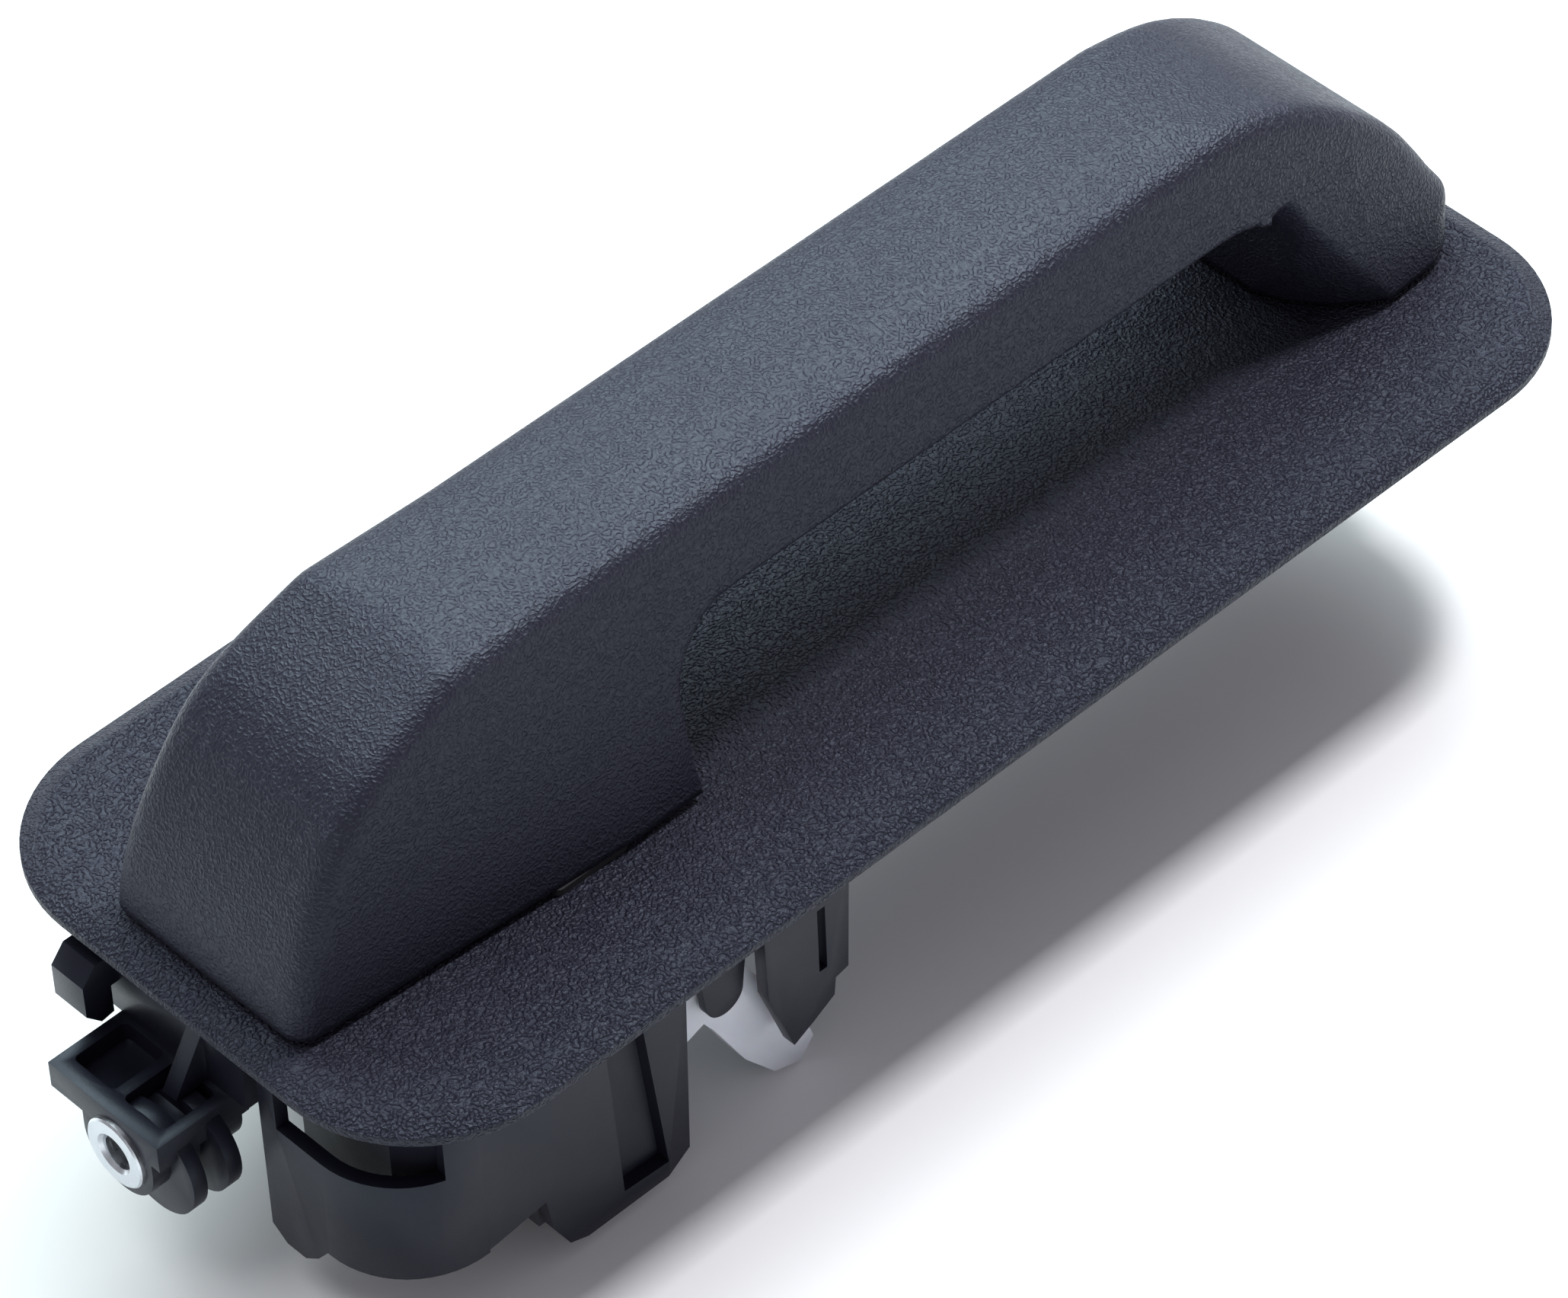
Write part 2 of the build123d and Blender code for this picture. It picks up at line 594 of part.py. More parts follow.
with BuildPart() as hinge_arm:
    with BuildSketch(Plane.XY.offset(5.4)):
        with Locations((103.5, 0)):
            RectangleRounded(23, 21, 3)
    extrude(amount=3.6)
    with BuildSketch(Plane.XZ):
        with BuildLine():
            Polyline((104.5, 8), (104.5, -2), (110, -14), (119, -9), (115.4, 8), (104.5, 8))
        make_face()
        with Locations((HINGE_X, HINGE_Z)):
            Circle(5.6)
    extrude(amount=10.5, both=True)
    with BuildSketch(Plane.XZ):
        with Locations((HINGE_X, HINGE_Z)):
            Circle(5.6)
    extrude(amount=14, both=True)
    with BuildSketch(Plane.XZ):
        with Locations((HINGE_X, HINGE_Z)):
            Circle(3.6)
    extrude(amount=14, both=True, mode=Mode.SUBTRACT)
    with BuildSketch(Plane.XY.offset(5)):
        with Locations(*LEG_SCREWS):
            Circle(SCREW_RADIUS)
    extrude(amount=5, mode=Mode.SUBTRACT)

with BuildPart() as hinge_bushes:
    with BuildSketch(Plane.XZ.offset(14)):
        with Locations((HINGE_X, HINGE_Z)):
            Circle(3.6)
            Circle(PIN_RADIUS + 0.05, mode=Mode.SUBTRACT)
    extrude(amount=-12)
    with BuildSketch(Plane.XZ.offset(14)):
        with Locations((HINGE_X, HINGE_Z)):
            Circle(5.2)
            Circle(PIN_RADIUS + 0.05, mode=Mode.SUBTRACT)
    extrude(amount=1)
    mirror(about=Plane.XZ)

with BuildPart() as arm_screws:
    with BuildSketch(Plane.XY.offset(5.2)):
        with Locations(*BLOCK_SCREWS):
            Circle(SCREW_RADIUS - 0.2)
    extrude(amount=12)
    with BuildSketch(Plane.XY.offset(5.4)):
        with Locations(*LEG_SCREWS):
            Circle(SCREW_RADIUS - 0.2)
    extrude(amount=12)
    with BuildSketch(Plane.XY.offset(5.2)):
        with Locations(*BLOCK_SCREWS):
            Circle(3.4)
    extrude(amount=-1)
    with BuildSketch(Plane.XY.offset(5.4)):
        with Locations(*LEG_SCREWS):
            Circle(2.9)
    extrude(amount=-1.3)


# ================= bell crank =================

with BuildPart() as bell_crank:
    # hub
    with BuildSketch(Plane.XZ.offset(CRANK_Y + 2.6)):
        with Locations((CRANK_X, CRANK_Z)):
            Circle(5.4)
    extrude(amount=-19)
    # input arm, a yoke of two cheeks round the roller
    with BuildSketch(Plane.XZ.offset(CRANK_Y + 2.6)):
        with BuildLine():
            Polyline((CRANK_X + 2.1, CRANK_Z - 4.7), (ROLLER_X + 1, ROLLER_Z - 2.1),
                     (ROLLER_X - 1, ROLLER_Z + 2.1), (CRANK_X - 2.1, CRANK_Z + 4.7),
                     (CRANK_X + 2.1, CRANK_Z - 4.7))
        make_face()
        with Locations((ROLLER_X, ROLLER_Z)):
            Circle(2.3)
    extrude(amount=-8)
    # output arm: a flat fin that hangs below the hub
    with BuildSketch(Plane.XZ.offset(CRANK_Y + 2.6)):
        with BuildLine():
            Polyline((CRANK_X - 5, CRANK_Z - 2), (-55.4, -30), (-49.4, -41.2), (-43.8, -48.2),
                     (-38.6, -50), (-35.8, -46.5), (-37.6, -40.5), (CRANK_X + 5, CRANK_Z + 2),
                     (CRANK_X - 5, CRANK_Z - 2))
        make_face()
    extrude(amount=-3.2)
    # arm and collar of the counterweight
    with BuildSketch(Plane.XZ.offset(CRANK_Y - 9.4)):
        with BuildLine():
            Polyline((CRANK_X - 1, CRANK_Z + 5), (WEIGHT_X - 1, WEIGHT_Z + 4),
                     (WEIGHT_X + 1, WEIGHT_Z - 4), (CRANK_X + 2, CRANK_Z - 5),
                     (CRANK_X - 1, CRANK_Z + 5))
        make_face()
        with Locations((WEIGHT_X, WEIGHT_Z)):
            Circle(6.6)
    extrude(amount=-5)
    with BuildSketch(Plane.XZ.offset(CRANK_Y + 4)):
        with Locations((WEIGHT_X, WEIGHT_Z)):
            Circle(4.6)
    extrude(amount=-30, mode=Mode.SUBTRACT)
    # gap for the roller, and the bores
    with BuildSketch(Plane.XZ.offset(CRANK_Y + 0.2)):
        with Locations((ROLLER_X, ROLLER_Z)):
            Circle(5.5)
    extrude(amount=-3.6, mode=Mode.SUBTRACT)
    with BuildSketch(Plane.XZ.offset(CRANK_Y + 4)):
        with Locations((CRANK_X, CRANK_Z)):
            Circle(CRANK_PIN_RADIUS + 0.05)
        with Locations((ROLLER_X, ROLLER_Z)):
            Circle(1.2)
    extrude(amount=-30, mode=Mode.SUBTRACT)
    # blind bore for the rod clip, from the inboard face of the fin
    with BuildSketch(Plane.XZ.offset(CRANK_Y + 1.6)):
        with Locations((CLIP_X, CLIP_Z)):
            Circle(1.8)
    extrude(amount=-3, mode=Mode.SUBTRACT)

with BuildPart() as roller_pin:
    with BuildSketch(Plane.XZ.offset(CRANK_Y + 2.8)):
        with Locations((ROLLER_X, ROLLER_Z)):
            Circle(1.2)
    extrude(amount=-8.4)
    chamfer(roller_pin.edges().filter_by(GeomType.CIRCLE), length=0.2)

with BuildPart() as crank_roller:
    with BuildSketch(Plane.XZ.offset(CRANK_Y - 0.1)):
        with Locations((ROLLER_X, ROLLER_Z)):
            Circle(ROLLER_RADIUS)
            Circle(1.25, mode=Mode.SUBTRACT)
    extrude(amount=-3)

with BuildPart() as counterweight:
    with BuildSketch(Plane.XZ.offset(CRANK_Y - 4)):
        with Locations((WEIGHT_X, WEIGHT_Z)):
            Circle(4.6)
    extrude(amount=-16)
    chamfer(counterweight.edges().filter_by(GeomType.CIRCLE), length=0.5)

with BuildPart() as rod_clip:
    with BuildSketch(Plane.XZ.offset(CRANK_Y + 1.5)):
        with Locations((CLIP_X, CLIP_Z)):
            Circle(1.75)
    extrude(amount=-6.9)
    with BuildSketch(Plane.XZ.offset(CRANK_Y - 0.8)):
        with BuildLine():
            Polyline((CLIP_X - 3.4, CLIP_Z - 3.4), (CLIP_X + 3.4, CLIP_Z - 3.4),
                     (CLIP_X + 3.4, CLIP_Z + 7.5), (CLIP_X - 3.4, CLIP_Z + 7.5),
                     (CLIP_X - 3.4, CLIP_Z - 3.4))
        make_face()
    extrude(amount=-4.6)
    fillet(rod_clip.edges().filter_by(Axis.Y), radius=1)
    with BuildSketch(Plane.XZ.offset(CRANK_Y + 4)):
        with Locations((CLIP_X, CLIP_Z)):
            Circle(1.1)
    extrude(amount=-12, mode=Mode.SUBTRACT)
    # groove that snaps over the rod
    with BuildSketch(Plane.XY.offset(CLIP_Z + 7.5)):
        with Locations((CLIP_X, -CRANK_Y + 5.4)):
            Rectangle(1.7, 1.2)
    extrude(amount=-7.5, mode=Mode.SUBTRACT)


# ================= export =================

for name, built in {
    "bezel_plate": bezel_plate,
    "bezel_gasket": bezel_gasket,
    "plate_screws": plate_screws,
    "chassis": chassis,
    "threaded_insert": threaded_insert,
    "hinge_pin": hinge_pin,
    "hinge_clip": hinge_clip,
    "crank_pin": crank_pin,
    "crank_clip": crank_clip,
    "travel_stop": travel_stop,
    "rest_pads": rest_pads,
    "return_spring": return_spring,
    "grip_shell": grip_shell,
    "grip_inner_cover": grip_inner_cover,
    "grip_core": grip_core,
    "pull_arm": pull_arm,
    "hinge_arm": hinge_arm,
    "hinge_bushes": hinge_bushes,
    "arm_screws": arm_screws,
    "bell_crank": bell_crank,
    "roller_pin": roller_pin,
    "crank_roller": crank_roller,
    "counterweight": counterweight,
    "rod_clip": rod_clip,
}.items():
    built.part.label = name
    export_step(built.part, f"parts/{name}.step")
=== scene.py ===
import json
import math

import bpy
from mathutils import Matrix, Vector

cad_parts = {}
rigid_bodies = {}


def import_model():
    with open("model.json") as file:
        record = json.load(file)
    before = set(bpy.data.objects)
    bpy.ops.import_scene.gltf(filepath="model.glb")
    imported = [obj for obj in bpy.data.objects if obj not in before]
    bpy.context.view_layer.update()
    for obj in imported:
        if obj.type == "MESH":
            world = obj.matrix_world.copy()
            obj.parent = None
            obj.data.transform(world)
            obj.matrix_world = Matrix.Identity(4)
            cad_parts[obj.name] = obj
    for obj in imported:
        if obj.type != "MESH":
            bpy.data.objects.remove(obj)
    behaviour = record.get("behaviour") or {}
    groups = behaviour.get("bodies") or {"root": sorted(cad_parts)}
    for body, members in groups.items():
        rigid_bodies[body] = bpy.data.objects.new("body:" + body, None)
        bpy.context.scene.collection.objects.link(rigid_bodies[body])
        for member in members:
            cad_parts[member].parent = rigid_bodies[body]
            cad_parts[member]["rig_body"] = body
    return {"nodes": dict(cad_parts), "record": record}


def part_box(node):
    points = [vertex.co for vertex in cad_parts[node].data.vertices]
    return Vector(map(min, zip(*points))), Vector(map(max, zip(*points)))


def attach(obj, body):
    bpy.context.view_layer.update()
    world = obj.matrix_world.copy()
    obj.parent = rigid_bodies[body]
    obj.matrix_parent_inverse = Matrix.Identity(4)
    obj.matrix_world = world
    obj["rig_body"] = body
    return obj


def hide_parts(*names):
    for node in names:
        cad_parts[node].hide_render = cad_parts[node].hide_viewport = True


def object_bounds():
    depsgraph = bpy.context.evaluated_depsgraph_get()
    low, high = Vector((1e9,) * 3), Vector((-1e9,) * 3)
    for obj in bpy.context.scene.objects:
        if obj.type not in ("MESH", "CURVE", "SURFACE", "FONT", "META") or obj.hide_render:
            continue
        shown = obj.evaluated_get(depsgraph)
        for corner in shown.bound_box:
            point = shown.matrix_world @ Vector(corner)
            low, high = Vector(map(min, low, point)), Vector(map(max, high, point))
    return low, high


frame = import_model()
CAD_LOW, CAD_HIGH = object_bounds()

bl_info = {
    "name": "Car Door Handle",
    "version": (1, 0, 0),
    "blender": (4, 5, 0),
    "location": "View3D > Sidebar > Door Handle",
    "description": "Finishes, fasteners and studio for a strap-shaped exterior door handle",
    "category": "Object",
}

MM = 0.001

# painted light: reflections on the grained and the smooth black plastics are tinted blue in the material,
# standing in for a bluish lamp
PAINTED_BLUE_REFLECTION_TINT = (0.76, 0.86, 1.0, 1)
GRAINED_GLOSS = 0.40
SMOOTH_GLOSS = 0.27

# angles in degrees: joined as flat below the first, rounded as an edge above the second,
# shaded as an edge above the other two
FLAT_ANGLE = 0.4
EDGE_ANGLE = 38
MOULDED_SHADE_ANGLE = 32
METAL_SHADE_ANGLE = 30

# sides of a turned piece
TURNED_SIDES = 72

# camera: where it stands, and which way its right and its top point
CAMERA_PLACE = (-0.57139, -0.62937, 0.83543)
CAMERA_RIGHT = Vector((0.71972569, -0.69341007, -0.03431335))
CAMERA_UP = Vector((0.50870737, 0.49308947, 0.70574754))
CAMERA_LENS = 183.3
CAMERA_SENSOR = 36


# ---------------- settings ----------------


def colour_property(name, description, default):
    """A linear colour swatch."""
    return bpy.props.FloatVectorProperty(
        name=name, description=description, default=default, subtype="COLOR", size=3, min=0, max=1
    )


def length_property(name, description, default):
    """A length in metres."""
    return bpy.props.FloatProperty(name=name, description=description, default=default, unit="LENGTH", min=0)


class HandleColours(bpy.types.PropertyGroup):
    """Base colours of the finishes."""

    textured: colour_property("Grained plastic", "Plate and outer grip", (0.0125, 0.0112, 0.0215))
    chassis: colour_property("Chassis plastic", "Chassis and inner cover", (0.0085, 0.0085, 0.0150))
    nylon: colour_property("Filled nylon", "Arms, core and roller", (0.030, 0.031, 0.036))
    acetal: colour_property("White acetal", "Bell crank and bushes", (0.70, 0.72, 0.78))
    rubber: colour_property("Rubber", "Gasket, pads and travel stop", (0.014, 0.014, 0.016))
    zinc: colour_property("Zinc plate", "Insert, pins and screws", (0.62, 0.64, 0.67))
    spring: colour_property("Spring steel", "Spring and clips", (0.36, 0.37, 0.40))
    clip: colour_property("Clip acetal", "Rod clip", (0.10, 0.27, 0.18))
    floor: colour_property("Floor", "Studio floor", (0.87, 0.87, 0.87))


class HandleSizes(bpy.types.PropertyGroup):
    """Sizes of the grain, the edges, the thread and the grip's mesh, and the power of the lamps."""

    grain_size: length_property("Grain size", "Width of one pebble of the moulded grain", 0.56 * MM)
    plate_grain: length_property("Plate grain depth", "Height of the grain on the plate", 0.42 * MM)
    grip_grain: length_property("Grip grain depth", "Height of the grain on the grip", 0.17 * MM)
    edge_round: length_property("Edge rounding", "Width of the softened edges of moulded pieces", 0.35 * MM)
    thread_pitch: length_property("Thread pitch", "Pitch of the thread in the lug's insert", 1.0 * MM)
    thread_root: length_property("Thread root radius", "Radius of the valleys of the thread", 3.05 * MM)
    thread_crest: length_property("Thread crest radius", "Radius of the crests of the thread", 2.5 * MM)
    grip_detail: bpy.props.IntProperty(
        name="Grip detail", description="Halvings of the box round the grip's mesh", default=8, min=4, max=9
    )
    grip_softness: bpy.props.IntProperty(
        name="Grip softness", description="Rounds of smoothing over the grip's creases", default=8, min=0
    )
    rim_guard: length_property("Rim guard", "Height of the grip's rim that stays crisp", 8 * MM)
    cover_guard: length_property("Cover guard", "Width along the inner cover that stays crisp", 1.5 * MM)
    cover_blend: length_property("Cover blend", "Distance from the inner cover to full softness", 6 * MM)
    light_power: bpy.props.FloatProperty(
        name="Lamp power", description="Power the lamps share", default=16.0, unit="POWER", min=0
    )


# ---------------- node helpers ----------------


class Finish:
    """A material and the few node steps that every finish is put together from."""

    def __init__(self, name, colour, roughness, metallic=0.0, gloss=None):
        self.material = bpy.data.materials.new(name)
        self.material.use_nodes = True
        self.nodes = self.material.node_tree.nodes
        self.links = self.material.node_tree.links
        self.shader = self.nodes["Principled BSDF"]
        self.shader.inputs["Metallic"].default_value = metallic
        self.shader.inputs["Roughness"].default_value = roughness
        self.shader.inputs["Base Color"].default_value = (*colour, 1)
        if gloss is not None:
            self.shader.inputs["Specular IOR Level"].default_value = gloss
            # painted light: a blue tint on the reflections that stands in for a bluish lamp
            self.shader.inputs["Specular Tint"].default_value = PAINTED_BLUE_REFLECTION_TINT
        self.colour = colour
        self.place = self.nodes.new("ShaderNodeTexCoord").outputs["Object"]

    def node(self, kind, **inputs):
        """A new node with these inputs linked or set."""
        made = self.nodes.new(kind)
        for key, value in inputs.items():
            socket = made.inputs[key.replace("_", " ")]
            if isinstance(value, bpy.types.NodeSocket):
                self.links.new(value, socket)
            else:
                socket.default_value = value
        return made

    def noise(self, size, detail=3.0, roughness=0.55):
        """Soft noise whose blobs are about size across."""
        made = self.node(
            "ShaderNodeTexNoise", Vector=self.place, Scale=1 / size, Detail=detail, Roughness=roughness
        )
        return made.outputs["Fac"]

    def ramp(self, value, low, high, start=0.3, stop=0.7):
        """value, stretched from start..stop to low..high."""
        made = self.node("ShaderNodeMapRange", Value=value)
        made.inputs["From Min"].default_value = start
        made.inputs["From Max"].default_value = stop
        made.inputs["To Min"].default_value = low
        made.inputs["To Max"].default_value = high
        return made.outputs["Result"]

    def math(self, kind, first, second):
        """One step of arithmetic on values or sockets."""
        made = self.nodes.new("ShaderNodeMath")
        made.operation = kind
        for socket, value in zip(made.inputs, (first, second)):
            if isinstance(value, bpy.types.NodeSocket):
                self.links.new(value, socket)
            else:
                socket.default_value = value
        return made.outputs["Value"]

    def tint(self, amount, factor):
        """Base colour that wanders by amount with factor."""
        made = self.nodes.new("ShaderNodeMix")
        made.data_type = "RGBA"
        dark = [part * (1 - amount) for part in self.colour]
        light = [min(1, part * (1 + amount)) for part in self.colour]
        made.inputs[6].default_value = (*dark, 1)
        made.inputs[7].default_value = (*light, 1)
        self.links.new(factor, made.inputs[0])
        self.links.new(made.outputs[2], self.shader.inputs["Base Color"])
        return self

    def rough(self, value):
        """Roughness that follows value."""
        self.links.new(value, self.shader.inputs["Roughness"])
        return self

    def bump(self, height, distance, strength=1.0):
        """Raises the surface by height times distance."""
        made = self.node("ShaderNodeBump", Height=height, Distance=distance, Strength=strength)
        self.links.new(made.outputs["Normal"], self.shader.inputs["Normal"])
        return self


# ---------------- finishes ----------------


def grained_plastic(name, colours, sizes, depth):
    """Moulded leather grain: rounded pebbles run together into short worms, with duller valleys."""
    size = sizes.grain_size
    made = Finish(name, colours.textured, 0.46, gloss=GRAINED_GLOSS)
    # the place on the surface, pushed about by up to one pebble
    warp = made.node("ShaderNodeTexNoise", Vector=made.place, Scale=0.6 / size, Detail=2.0)
    shift = made.nodes.new("ShaderNodeVectorMath")
    shift.operation = "MULTIPLY_ADD"
    made.links.new(warp.outputs["Color"], shift.inputs[0])
    shift.inputs[1].default_value = (size, size, size)
    made.links.new(made.place, shift.inputs[2])
    # pebbles
    cells = made.nodes.new("ShaderNodeTexVoronoi")
    cells.feature = "SMOOTH_F1"
    made.links.new(shift.outputs["Vector"], cells.inputs["Vector"])
    cells.inputs["Scale"].default_value = 1 / size
    cells.inputs["Smoothness"].default_value = 0.6
    pebbles = made.ramp(cells.outputs["Distance"], 1.0, 0.0, 0.1, 0.75)
    # worms: ridges where a soft noise crosses its middle value
    swirl = made.math("SUBTRACT", made.noise(1.5 * size, 0.0), 0.5)
    worms = made.ramp(made.math("ABSOLUTE", swirl, 0.0), 1.0, 0.0, 0.0, 0.14)
    fine = made.noise(0.22 * MM, 2.0)
    height = made.math("ADD", made.math("MULTIPLY", pebbles, 0.5), made.math("MULTIPLY", worms, 0.5))
    height = made.math("ADD", height, made.math("MULTIPLY", fine, 0.25))
    made.bump(height, depth)
    # broad patches, a little lighter and duller
    broad = made.noise(26 * MM, 4.0)
    made.tint(0.16, broad)
    valleys = made.ramp(pebbles, 0.56, 0.42, 0.1, 0.9)
    patches = made.ramp(broad, -0.03, 0.04)
    return made.rough(made.math("ADD", valleys, patches))


def smooth_plastic(name, colour, roughness):
    """Plain moulded plastic: faint flow marks, fine stipple and a few dull patches."""
    made = Finish(name, colour, roughness, gloss=SMOOTH_GLOSS)
    flow = made.noise(14 * MM, 4.0)
    stipple = made.noise(0.35 * MM, 3.0)
    height = made.math("ADD", made.math("MULTIPLY", flow, 0.25), stipple)
    made.bump(height, 0.02 * MM)
    made.tint(0.12, flow)
    patches = made.ramp(flow, roughness - 0.05, roughness + 0.07)
    specks = made.ramp(stipple, -0.02, 0.02)
    return made.rough(made.math("ADD", patches, specks))


def filled_nylon(colours):
    """Glass filled nylon: short pale fibres just under a dull skin."""
    made = Finish("filled_nylon", colours.nylon, 0.5)
    fibres = made.noise(0.6 * MM, 6.0, 0.7)
    made.tint(0.35, made.ramp(fibres, 0, 1, 0.42, 0.62))
    made.bump(fibres, 0.03 * MM)
    return made.rough(made.ramp(fibres, 0.42, 0.6))


def acetal(name, colour):
    """Waxy acetal: slightly translucent, with soft moulding marks."""
    made = Finish(name, colour, 0.34)
    made.shader.inputs["Subsurface Weight"].default_value = 0.12
    made.shader.inputs["Subsurface Scale"].default_value = 1.2 * MM
    marks = made.noise(6 * MM, 4.0)
    made.tint(0.04, marks)
    stipple = made.math("MULTIPLY", made.noise(0.4 * MM), 0.3)
    made.bump(made.math("ADD", marks, stipple), 0.02 * MM)
    return made.rough(made.ramp(marks, 0.28, 0.42))


def rubber(colours):
    """Moulded rubber: dull, with a dusty bloom."""
    made = Finish("rubber", colours.rubber, 0.78)
    bloom = made.noise(3 * MM, 5.0)
    made.tint(0.3, bloom)
    made.bump(made.noise(0.3 * MM, 4.0), 0.03 * MM)
    return made.rough(made.ramp(bloom, 0.7, 0.88))


def plated_steel(name, colour, roughness):
    """Plated or drawn steel: turning marks, tiny pits and a patchy shine."""
    made = Finish(name, colour, roughness, 1.0)
    patches = made.noise(1.6 * MM, 5.0)
    pits = made.noise(0.14 * MM, 3.0)
    made.tint(0.1, patches)
    made.bump(pits, 0.012 * MM)
    return made.rough(made.ramp(patches, roughness - 0.06, roughness + 0.12))


def all_finishes(colours, sizes):
    """Each finish by the record's material slot, and fine_grain, the grip's own shallower grain."""
    return {
        "textured_black": grained_plastic("grained_plate", colours, sizes, sizes.plate_grain),
        "fine_grain": grained_plastic("grained_grip", colours, sizes, sizes.grip_grain),
        "chassis_black": smooth_plastic("chassis_plastic", colours.chassis, 0.36),
        "nylon_black": filled_nylon(colours),
        "white_acetal": acetal("white_acetal_finish", colours.acetal),
        "black_rubber": rubber(colours),
        "zinc_steel": plated_steel("zinc_plate", colours.zinc, 0.3),
        "spring_steel": plated_steel("spring_wire", colours.spring, 0.26),
        "green_acetal": acetal("clip_acetal", colours.clip),
    }


FINISHES = {}
SLOTS = {part["node"]: part["material_slot"] for part in frame["record"]["subparts"]}


def finish_of(slot):
    """The finished material for a slot of the record or for fine_grain, made once."""
    scene = bpy.context.scene
    if not FINISHES:
        for key, finish in all_finishes(scene.handle_colours, scene.handle_sizes).items():
            FINISHES[key] = finish.material
    return FINISHES[slot]


def paint(piece, material):
    """Puts one material on every face of piece."""
    piece.data.materials.clear()
    piece.data.materials.append(material)


# ---------------- modelling helpers ----------------


def deselect():
    """Object mode, with nothing selected."""
    if bpy.context.object and bpy.context.object.mode != "OBJECT":
        bpy.ops.object.mode_set(mode="OBJECT")
    bpy.ops.object.select_all(action="DESELECT")


def make_active(piece):
    """Selects piece alone and makes it active."""
    deselect()
    piece.select_set(True)
    bpy.context.view_layer.objects.active = piece


def apply_modifiers(piece):
    """Works every modifier of piece into its mesh, in order."""
    make_active(piece)
    for modifier in list(piece.modifiers):
        bpy.ops.object.modifier_apply(modifier=modifier.name)


def settle(piece, matrix):
    """Moves piece by matrix, then applies it, so that its place is in its mesh."""
    make_active(piece)
    piece.matrix_world = matrix
    bpy.ops.object.transform_apply(location=True, rotation=True, scale=True)


def turned(name, profile, sides, closed=True):
    """A piece turned about Z: a ring of sides, extruded through profile's (radius, height) steps."""
    deselect()
    radius, height = profile[0]
    bpy.ops.mesh.primitive_circle_add(vertices=sides, radius=radius, location=(0, 0, height))
    piece = bpy.context.object
    piece.name = name
    bpy.ops.object.transform_apply(location=True)
    bpy.ops.object.mode_set(mode="EDIT")
    bpy.ops.mesh.select_all(action="SELECT")
    for step_radius, step_height in profile[1:]:
        bpy.ops.mesh.extrude_edges_move(TRANSFORM_OT_translate={"value": (0, 0, step_height - height)})
        ratio = step_radius / radius
        bpy.ops.transform.resize(value=(ratio, ratio, 1), center_override=(0, 0, step_height))
        radius, height = step_radius, step_height
    if closed:
        bpy.ops.mesh.select_all(action="SELECT")
        bpy.ops.mesh.remove_doubles(threshold=1e-6)
    bpy.ops.mesh.select_all(action="SELECT")
    bpy.ops.mesh.normals_make_consistent(inside=False)
    bpy.ops.object.mode_set(mode="OBJECT")
    return piece


def soft_shade(piece, angle):
    """Smooth shading that breaks at edges sharper than angle, in degrees."""
    make_active(piece)
    bpy.ops.object.shade_smooth_by_angle(angle=math.radians(angle))


def copy_of_node(name, piece_name):
    """An editable copy of a frame piece, with its loose triangles joined."""
    deselect()
    node = frame["nodes"][name]
    piece = bpy.data.objects.new(piece_name, node.data.copy())
    bpy.context.scene.collection.objects.link(piece)
    make_active(piece)
    bpy.ops.mesh.customdata_custom_splitnormals_clear()
    bpy.ops.object.mode_set(mode="EDIT")
    bpy.ops.mesh.select_all(action="SELECT")
    bpy.ops.mesh.remove_doubles(threshold=0.002 * MM)
    bpy.ops.object.mode_set(mode="OBJECT")
    return piece


def stand_for(piece, *nodes):
    """piece takes the finish, the body and the place of these frame pieces."""
    first = nodes[0]
    paint(piece, finish_of(SLOTS[first]))
    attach(piece, frame["nodes"][first]["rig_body"])
    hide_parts(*nodes)


# ---------------- operators ----------------


class HANDLE_OT_finish_frame(bpy.types.Operator):
    """Gives every piece of the frame its finish"""

    bl_idname = "handle.finish_frame"
    bl_label = "Finish the frame's pieces"

    def execute(self, context):
        for name, node in frame["nodes"].items():
            paint(node, finish_of(SLOTS[name]))
        return {"FINISHED"}


class HANDLE_OT_moulded_edges(bpy.types.Operator):
    """Softens the edges of the moulded pieces, as a mould leaves them"""

    bl_idname = "handle.moulded_edges"
    bl_label = "Moulded pieces"

    # node, share of the edge rounding
    pieces = (
        ("bezel_plate", 0.7),
        ("chassis", 1.0),
        ("pull_arm", 1.0),
        ("hinge_arm", 1.0),
        ("bell_crank", 0.9),
        ("grip_inner_cover", 0.8),
        ("rod_clip", 0.6),
    )

    def execute(self, context):
        for name, share in self.pieces:
            self.soften(name, share * context.scene.handle_sizes.edge_round)
        return {"FINISHED"}

    def soften(self, name, width):
        """A copy of the frame's piece, with its edges rounded over width."""
        piece = copy_of_node(name, name + "_moulded")
        bpy.ops.object.mode_set(mode="EDIT")
        bpy.ops.mesh.select_all(action="SELECT")
        bpy.ops.mesh.dissolve_limited(angle_limit=math.radians(FLAT_ANGLE))
        bpy.ops.object.mode_set(mode="OBJECT")
        bevel = piece.modifiers.new("edges", "BEVEL")
        bevel.width = width
        bevel.segments = 2
        bevel.limit_method = "ANGLE"
        bevel.angle_limit = math.radians(EDGE_ANGLE)
        apply_modifiers(piece)
        soft_shade(piece, MOULDED_SHADE_ANGLE)
        stand_for(piece, name)


